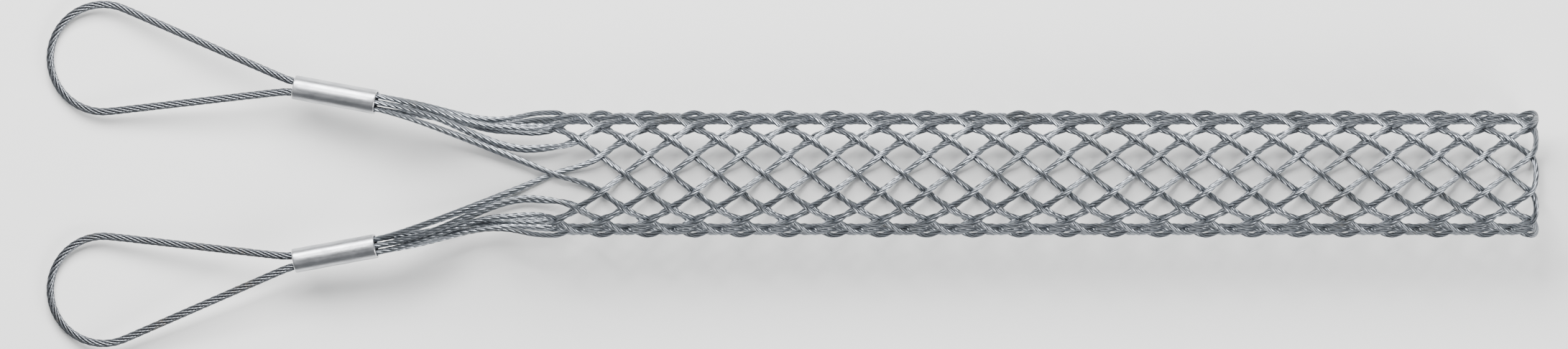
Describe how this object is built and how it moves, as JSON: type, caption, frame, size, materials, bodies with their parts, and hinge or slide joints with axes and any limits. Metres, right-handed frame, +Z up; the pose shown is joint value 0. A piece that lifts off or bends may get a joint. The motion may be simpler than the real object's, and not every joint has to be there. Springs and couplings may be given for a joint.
{
  "type": "cable pulling grip",
  "caption": "Open-ended woven wire pulling grip: a braided steel tube that tightens on a cable, with two wire rope eyes in pressed sleeves.",
  "frame": {"origin": "on the ground under the middle of the grip's box", "axes": "+X along the braided tube from the eyes to the closed hem, +Y to the side of the upper eye, +Z up from the ground"},
  "size_m": [0.6024, 0.14, 0.0529],
  "materials": {
    "mesh_wire": "galvanised, stranded, dull bright",
    "eye_rope": "galvanised wire rope",
    "ferrule": "satin, pressed"
  },
  "bodies": {
    "root": {"mesh_wire_01": "mesh_wire", "mesh_wire_02": "mesh_wire", "mesh_wire_03": "mesh_wire", "mesh_wire_04": "mesh_wire", "mesh_wire_05": "mesh_wire", "mesh_wire_06": "mesh_wire", "mesh_wire_07": "mesh_wire", "mesh_wire_08": "mesh_wire", "mesh_wire_09": "mesh_wire", "mesh_wire_10": "mesh_wire", "upper_ferrule": "ferrule", "upper_eye_rope": "eye_rope", "lower_ferrule": "ferrule", "lower_eye_rope": "eye_rope"}
  },
  "joints": []
}
